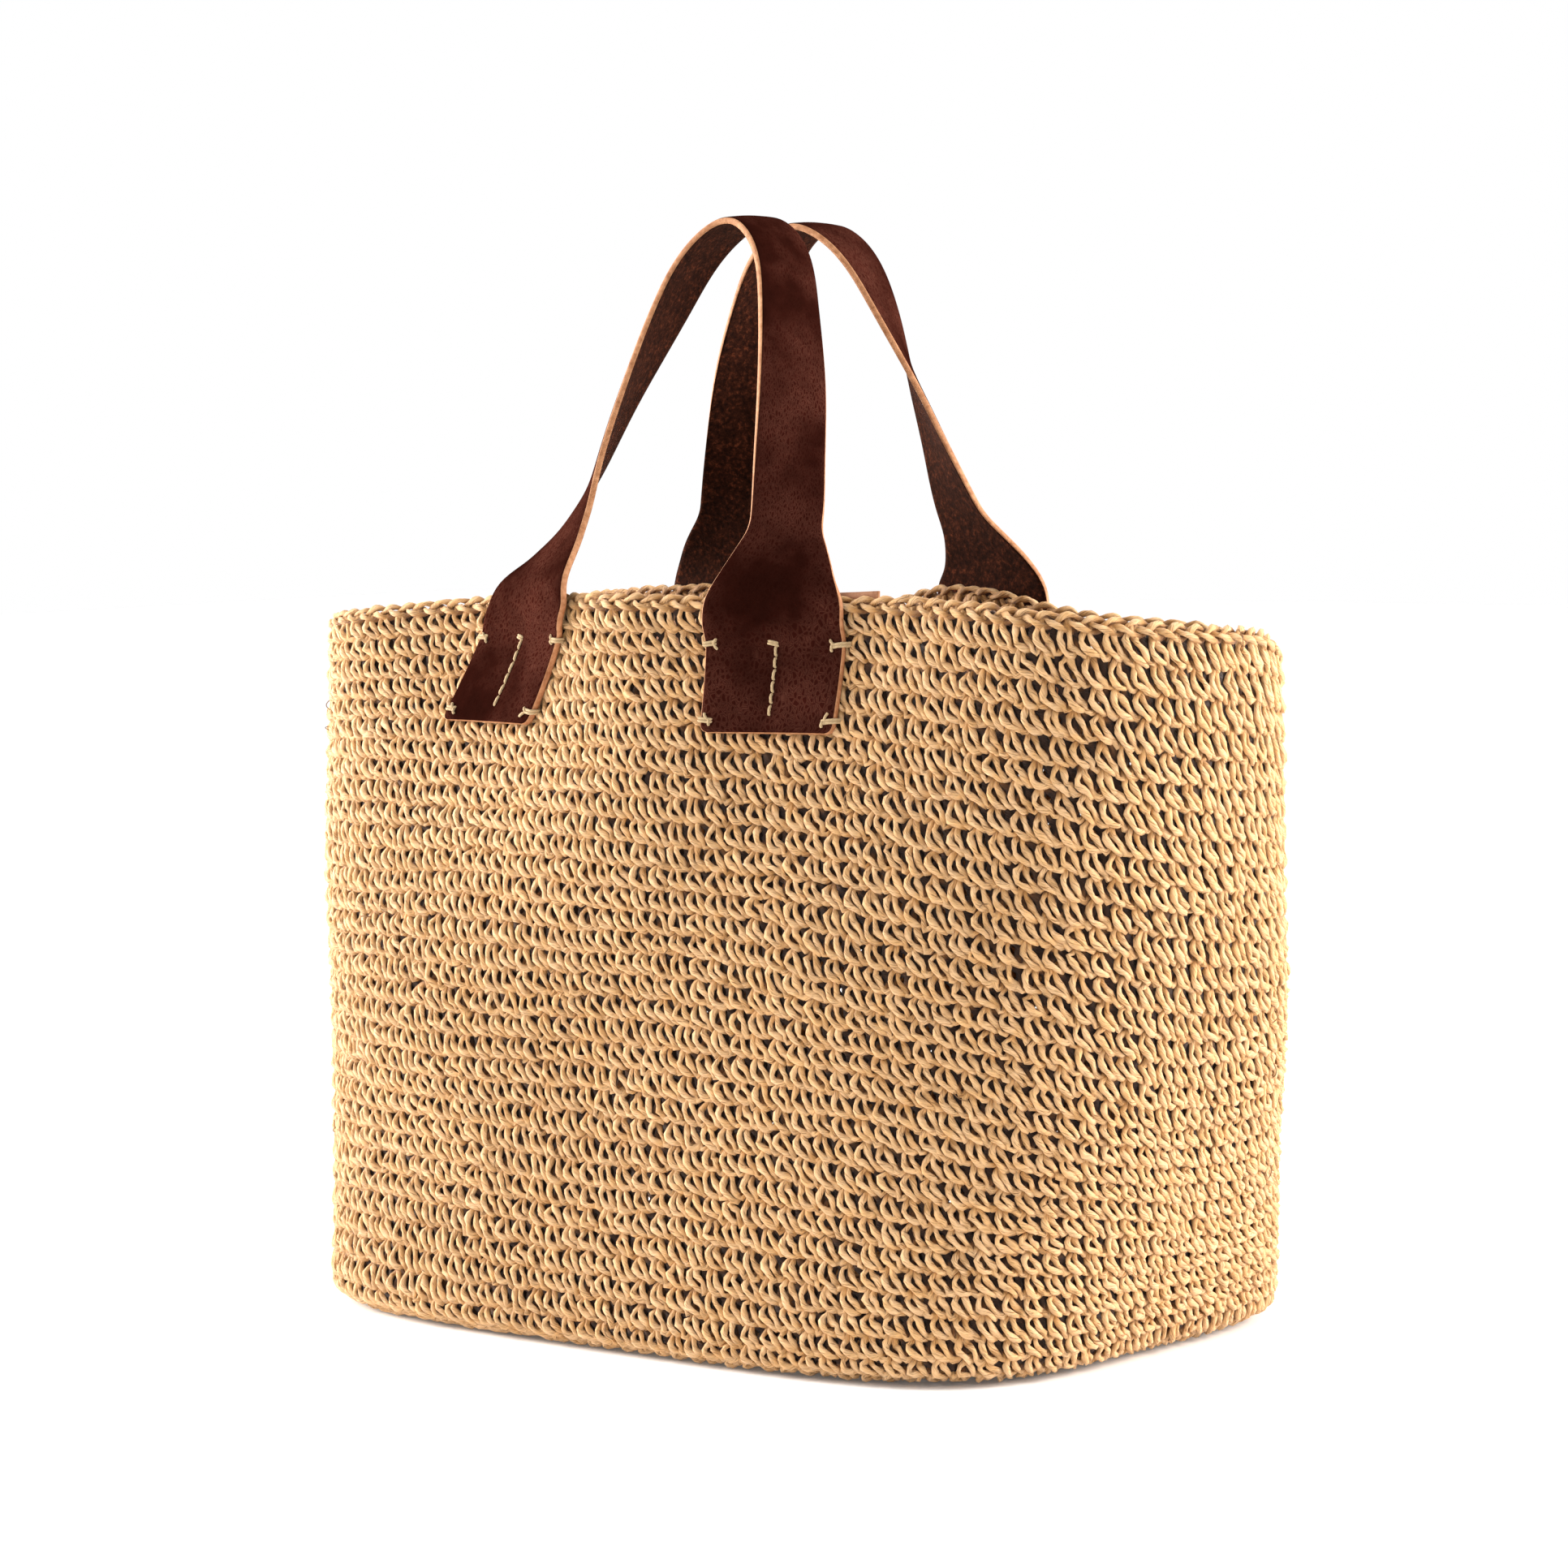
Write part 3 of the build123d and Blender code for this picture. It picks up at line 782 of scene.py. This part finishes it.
# === materials ==================================================================================
class Nodes:
    """Short way to write a node material."""

    def __init__(self, name, roughness, specular=0.5):
        self.material = bpy.data.materials.new(name)
        self.material.use_nodes = True
        self.tree = self.material.node_tree
        self.shader = self.tree.nodes["Principled BSDF"]
        self.shader.inputs["Roughness"].default_value = roughness
        self.shader.inputs["Specular IOR Level"].default_value = specular

    def node(self, kind, inputs=None, **settings):
        made = self.tree.nodes.new("ShaderNode" + kind)
        for key, value in settings.items():
            setattr(made, key, value)
        for key, value in (inputs or {}).items():
            self.feed(made.inputs[key], value)
        return made

    def feed(self, socket, value):
        if isinstance(value, bpy.types.NodeSocket):
            self.tree.links.new(value, socket)
        else:
            socket.default_value = value

    def math(self, operation, first, second=0.0, third=0.0):
        made = self.node("Math", operation=operation)
        for socket, value in zip(made.inputs, (first, second, third)):
            self.feed(socket, value)
        return made.outputs[0]

    def ramp(self, value, stops):
        """Colour ramp; stops are (place, grey or colour)."""
        made = self.node("ValToRGB", {0: value})
        colours = made.color_ramp.elements
        while len(colours) < len(stops):
            colours.new(0.5)
        for element, (place, colour) in zip(colours, stops):
            if isinstance(colour, float):
                colour = (colour,) * 3
            element.position = place
            element.color = (*colour, 1)
        return made.outputs[0]

    def mix(self, share, first, second, blend="MIX"):
        made = self.node("Mix", data_type="RGBA", blend_type=blend)
        self.feed(made.inputs[0], share)
        for socket, value in ((made.inputs[6], first), (made.inputs[7], second)):
            self.feed(socket, (*value, 1) if isinstance(value, tuple) else value)
        return made.outputs[2]

    def noise(self, vector, scale, detail=3.0, rough=0.55, distortion=0.0):
        made = self.node("TexNoise", {"Vector": vector, "Scale": scale, "Detail": detail,
                                      "Roughness": rough, "Distortion": distortion})
        return made.outputs["Fac"]

    def bump(self, height, distance, strength=1.0, under=None):
        made = self.node("Bump", {"Height": height, "Distance": distance, "Strength": strength})
        if under is not None:
            self.feed(made.inputs["Normal"], under)
        return made.outputs[0]

    def finish(self, colour, normal, roughness=None):
        self.feed(self.shader.inputs["Base Color"], colour)
        self.feed(self.shader.inputs["Normal"], normal)
        if roughness is not None:
            self.feed(self.shader.inputs["Roughness"], roughness)
        return self.material


def yarn_fibre(nodes, twist, scale):
    """Noise drawn out along a twisted yarn, without a break round it."""
    uv = nodes.node("UVMap", uv_map="yarn").outputs[0]
    split = nodes.node("SeparateXYZ", {0: uv})
    along, around = split.outputs[0], split.outputs[1]
    turned = nodes.math("MULTIPLY_ADD", along, twist, around)
    angle = nodes.math("MULTIPLY", turned, 2 * math.pi)
    vector = nodes.node("CombineXYZ", {0: nodes.math("COSINE", angle),
                                       1: nodes.math("SINE", angle),
                                       2: nodes.math("MULTIPLY", along, 0.11)})
    return nodes.noise(vector.outputs[0], scale, 4.0, 0.6)


def straw_material():
    nodes = Nodes("straw", 0.62, 0.32)
    place = nodes.node("TexCoord").outputs["Object"]
    depth = nodes.node("Attribute", attribute_name="depth").outputs["Fac"]
    level = nodes.node("MapRange", {0: depth, 1: -2.2, 2: 1.4}).outputs[0]
    fibre = yarn_fibre(nodes, 0.07, 2.2)
    patchy = nodes.noise(place, 9.0, 2.0)
    stitchy = nodes.noise(place, 160.0, 1.0)
    # painted shade: the deeper the yarn lies in the fabric, the darker it is coloured, from the
    # crest colour down to near black
    tone = nodes.ramp(level, [(0.18, STRAW_DEEPEST_PAINTED_SHADE), (0.48, STRAW_DARK_PAINTED_SHADE),
                               (0.72, STRAW_HALF_PAINTED_SHADE), (0.95, STRAW_CREST)])
    streaks = nodes.ramp(fibre, [(0.33, (0.42, 0.30, 0.17)), (0.45, (0.93, 0.88, 0.8)),
                                 (0.7, (1.1, 1.1, 1.1))])
    tone = nodes.mix(1.0, tone, streaks, "MULTIPLY")
    warm = nodes.ramp(stitchy, [(0.35, STRAW_GOLD), (0.6, (1.0, 1.0, 1.0))])
    tone = nodes.mix(0.7, tone, warm, "MULTIPLY")
    broad = nodes.ramp(patchy, [(0.3, (0.93, 0.9, 0.85)), (0.7, (1.04, 1.03, 1.02))])
    tone = nodes.mix(1.0, tone, broad, "MULTIPLY")
    normal = nodes.bump(fibre, 0.0012, 1.0)
    nodes.shader.inputs["Sheen Weight"].default_value = 0.12
    return nodes.finish(tone, normal)


def leather_vector(nodes, across, along):
    """Leather coordinates in millimetres, drawn out by the two factors."""
    uv = nodes.node("UVMap", uv_map="yarn").outputs[0]
    return nodes.node("VectorMath", {0: uv, 1: (across, along, 0.0)},
                      operation="MULTIPLY").outputs[0]


def grain_material():
    nodes = Nodes("handle_grain", 0.55, 0.0)
    place = nodes.node("TexCoord").outputs["Object"]
    plain = leather_vector(nodes, 1.0, 1.0)
    broad = nodes.noise(place, 26.0, 3.0)
    mottle = nodes.noise(place, 240.0, 3.0)
    tone = nodes.ramp(broad, [(0.32, GRAIN_DARK), (0.68, GRAIN_RED)])
    speck = nodes.ramp(mottle, [(0.3, (0.88, 0.86, 0.85)), (0.7, (1.1, 1.08, 1.06))])
    tone = nodes.mix(1.0, tone, speck, "MULTIPLY")
    wander = nodes.node("TexNoise", {"Vector": plain, "Scale": 0.3, "Detail": 3.0}).outputs["Color"]
    slanted = nodes.node("Mapping", {"Vector": plain, "Rotation": (0.0, 0.0, 0.75),
                                     "Scale": (1.15, 0.42, 1.0)}).outputs[0]
    slanted = nodes.node("VectorMath", {0: wander, 1: (1.3, 1.3, 0.0), 2: slanted},
                         operation="MULTIPLY_ADD").outputs[0]
    edge = nodes.node("TexVoronoi", {"Vector": slanted, "Scale": 1.0, "Randomness": 1.0},
                      feature="DISTANCE_TO_EDGE").outputs["Distance"]
    folds = nodes.ramp(edge, [(0.0, 0.0), (0.2, 1.0)])
    # painted highlight: a thin pale reddish line beside each wrinkle's valley, shown where the
    # broad noise allows
    highlight_lines = nodes.ramp(edge, [(0.0, 0.0), (0.08, 1.0), (0.22, 0.0)])
    where = nodes.ramp(broad, [(0.38, 0.05), (0.60, 1.0)])
    highlight_share = nodes.math("MULTIPLY", highlight_lines, where)
    tone = nodes.mix(nodes.math("MULTIPLY", highlight_share, 0.15), tone, GRAIN_PAINTED_HIGHLIGHT)
    cells = nodes.node("TexVoronoi", {"Vector": plain, "Scale": 1.6, "Randomness": 1.0},
                       feature="SMOOTH_F1").outputs["Distance"]
    normal = nodes.bump(cells, 0.00016, 0.3)
    normal = nodes.bump(folds, 0.00025, nodes.math("MULTIPLY", where, 0.4), normal)
    return nodes.finish(tone, normal)


def suede_material():
    nodes = Nodes("handle_suede", 0.95, 0.04)
    place = nodes.node("TexCoord").outputs["Object"]
    nap = nodes.noise(place, 520.0, 4.0, 0.7)
    clumps = nodes.noise(place, 150.0, 3.0)
    tone = nodes.ramp(nap, [(0.36, SUEDE_DARK), (0.55, SUEDE_BROWN), (0.72, SUEDE_RED)])
    patches = nodes.ramp(clumps, [(0.3, 0.55), (0.7, 1.35)])
    tone = nodes.mix(1.0, tone, patches, "MULTIPLY")
    normal = nodes.bump(nap, 0.0006, 0.9)
    nodes.shader.inputs["Sheen Weight"].default_value = 0.1
    nodes.shader.inputs["Sheen Tint"].default_value = (0.5, 0.2, 0.12, 1)
    return nodes.finish(tone, normal)


def raw_leather_material(name, light, dark):
    """Undyed leather, as at the cut edges and on the patches."""
    nodes = Nodes(name, 0.72, 0.3)
    place = nodes.node("TexCoord").outputs["Object"]
    fleck = nodes.noise(place, 420.0, 4.0, 0.65)
    broad = nodes.noise(place, 40.0, 2.0)
    tone = nodes.ramp(fleck, [(0.3, dark), (0.65, light)])
    shade = nodes.ramp(broad, [(0.35, (0.86, 0.8, 0.74)), (0.65, (1.05, 1.03, 1.0))])
    tone = nodes.mix(1.0, tone, shade, "MULTIPLY")
    return nodes.finish(tone, nodes.bump(fleck, 0.0003, 0.6))


def thread_material():
    nodes = Nodes("thread", 0.7, 0.25)
    strands = yarn_fibre(nodes, 0.35, 2.2)
    tone = nodes.ramp(strands, [(0.3, THREAD_DARK), (0.62, THREAD_LIGHT)])
    return nodes.finish(tone, nodes.bump(strands, 0.0004, 0.8))


def floor_material():
    nodes = Nodes("floor", 0.6, 0.2)
    place = nodes.node("TexCoord").outputs["Object"]
    fine = nodes.noise(place, 3.0, 2.0)
    tone = nodes.ramp(fine, [(0.3, (0.95, 0.945, 0.94)), (0.7, (0.97, 0.965, 0.96))])
    nodes.shader.inputs["Emission Color"].default_value = (1, 1, 1, 1)
    nodes.shader.inputs["Emission Strength"].default_value = 0.05
    return nodes.finish(tone, nodes.bump(fine, 0.0001, 0.1))


# === build: crochet =============================================================================
rng = np.random.default_rng(SEED)
round_height = (CLIMB_TOP - RIM_SPACE) / ROUNDS
straw = straw_material()
straw_pieces = []
for first in range(0, ROUNDS, ROUNDS_PER_PIECE):
    numbers = np.arange(first, min(first + ROUNDS_PER_PIECE, ROUNDS))
    straw_pieces.append(crochet_rounds(
        f"crochet_wall_{first // ROUNDS_PER_PIECE + 1}", numbers * LEAN, numbers * round_height,
        round_height, STITCHES, SAMPLES_PER_STITCH, WALL_CORNERS, rng))
base_rounds = []
for number in range(int(BASE_REACH / round_height)):
    climb = -(number + 1) * round_height
    length = np.interp(climb + round_height / 2, climbs, ring_lengths)
    base_rounds.append(crochet_rounds(
        f"crochet_base_{number + 1}", np.zeros(1), np.array([climb]), round_height,
        max(FEWEST_STITCHES, round(length / BASE_STITCH)), BASE_SAMPLES, BASE_CORNERS, rng))
base = base_rounds[0]
base.name = "crochet_base"
with bpy.context.temp_override(active_object=base, selected_editable_objects=base_rounds):
    bpy.ops.object.join()
straw_pieces.append(base)
braid = rim_braid(rng)
fibres = loose_fibres(rng)
straw_pieces += [braid, fibres]
for piece in straw_pieces:
    piece.data.materials.append(straw)
    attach(piece, "bag")
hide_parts("wall")
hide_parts("base_panel")
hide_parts("rim_edging")

# === build: handles, patches and stitching ======================================================
grain = grain_material()
suede = suede_material()
cut_edge = raw_leather_material("handle_cut_edge", EDGE_LIGHT, EDGE_DARK)
patch_leather = raw_leather_material("patch_leather", PATCH_LIGHT, PATCH_DARK)
thread = thread_material()
for side, side_name in SIDE_NAMES.items():
    grid, normals = handle_grid(side)
    handle = sheet_mesh(f"{side_name}_handle_leather", grid, normals, LEATHER)
    for material in (grain, suede, cut_edge):
        handle.data.materials.append(material)
    tabs = [f"{side_name}_{end_name}_tab" for end_name in END_NAMES.values()]
    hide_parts(f"{side_name}_strap", *tabs)
    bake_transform(handle)
    for end, end_name in END_NAMES.items():
        name = f"{side_name}_{end_name}"
        seam = thread_piece(f"{name}_seam_thread", seam_paths(side, end, rng), THREAD / 2)
        tacks = thread_piece(f"{name}_tack_thread", tack_paths(side, end, rng), THREAD / 2)
        for piece, node in ((seam, f"{name}_seam"), (tacks, f"{name}_tacks")):
            piece.data.materials.append(thread)
            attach(piece, "bag")
            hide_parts(node)
        top = HEIGHT - RIM_DROP * (tab_middle(side, end, HEIGHT) / HALF_LENGTH[2]) ** 2
        heights = np.linspace(PATCH_LOW, top + PATCH_RISE[side][end], PATCH_ROWS)
        shares = np.linspace(-1, 1, PATCH_COLUMNS)
        tilt = end * shares[None] * PATCH_TILT * ((heights - PATCH_LOW) / 50)[:, None]
        spread = tab_middle(side, end, heights)[:, None] + shares[None] * PATCH_WIDTH / 2
        ripple = 0.3 * np.sin(heights[:, None] * 0.3 + shares[None] * 4)
        patch_grid = skin(spread, heights[:, None] + tilt, side, PATCH_OUT + ripple)
        patch_grid[..., 2] = heights[:, None] + tilt
        patch_normals = unit(side * np.cross(np.gradient(patch_grid, axis=0),
                                             np.gradient(patch_grid, axis=1)))
        patch = sheet_mesh(f"{name}_patch_leather", patch_grid, patch_normals, PATCH_THICK)
        for material in (patch_leather, patch_leather, cut_edge):
            patch.data.materials.append(material)
        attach(patch, "bag")
        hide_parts(f"{name}_patch")

# === floor, lights and camera ===================================================================
floor_mesh = bpy.data.meshes.new("floor")
corners = [(x * FLOOR_HALF, y * FLOOR_HALF, FLOOR_LEVEL)
           for x, y in ((-1, -1), (1, -1), (1, 1), (-1, 1))]
floor_mesh.from_pydata(corners, [], [(0, 1, 2, 3)])
floor_mesh.materials.append(floor_material())
floor = link("floor", floor_mesh)


def area_light(name, place, power, size, aim, colour=(1.0, 1.0, 1.0)):
    data = bpy.data.lights.new(name, "AREA")
    data.energy = power
    data.size = size
    data.color = colour
    lamp = bpy.data.objects.new(name, data)
    lamp.location = place
    lamp.rotation_mode = "QUATERNION"
    lamp.rotation_quaternion = (Vector(place) - Vector(aim)).to_track_quat("Z", "Y")
    bpy.context.scene.collection.objects.link(lamp)


middle = (0, 0, 0.2)
area_light("left_softbox", (-1.9, -0.6, 0.7), LEFT_POWER, SOFTBOX, middle, (1.0, 0.97, 0.93))
area_light("right_softbox", (1.6, 1.2, 0.8), RIGHT_POWER, SOFTBOX, middle, (1.0, 0.97, 0.94))
area_light("overhead", (0.1, 0.1, 2.2), TOP_POWER, 2.0, middle)
world = bpy.data.worlds.new("studio")
world.use_nodes = True
world.node_tree.nodes["Background"].inputs[0].default_value = (1, 1, 1, 1)
world.node_tree.nodes["Background"].inputs[1].default_value = WORLD_LIGHT
bpy.context.scene.world = world
bpy.context.scene.view_settings.view_transform = "Standard"

azimuth, elevation = math.radians(CAMERA_AZIMUTH), math.radians(CAMERA_ELEVATION)
back = Vector((math.sin(azimuth) * math.cos(elevation),
               -math.cos(azimuth) * math.cos(elevation), math.sin(elevation)))
right = Vector((math.cos(azimuth), math.sin(azimuth), 0))
up = back.cross(right)
roll = math.radians(CAMERA_ROLL)
right, up = (right * math.cos(roll) + up * math.sin(roll),
             up * math.cos(roll) - right * math.sin(roll))
lens = bpy.data.cameras.new("camera")
lens.lens = CAMERA_LENS
lens.sensor_width = 36.0
camera = bpy.data.objects.new("camera", lens)
aim = Vector((0, 0, CAMERA_AIM)) + Vector((math.cos(azimuth), math.sin(azimuth), 0)) * CAMERA_SIDE
turned = Matrix((right, up, back)).transposed()
camera.matrix_world = Matrix.Translation(aim + back * CAMERA_DISTANCE) @ turned.to_4x4()
bpy.context.scene.collection.objects.link(camera)
bpy.context.scene.camera = camera
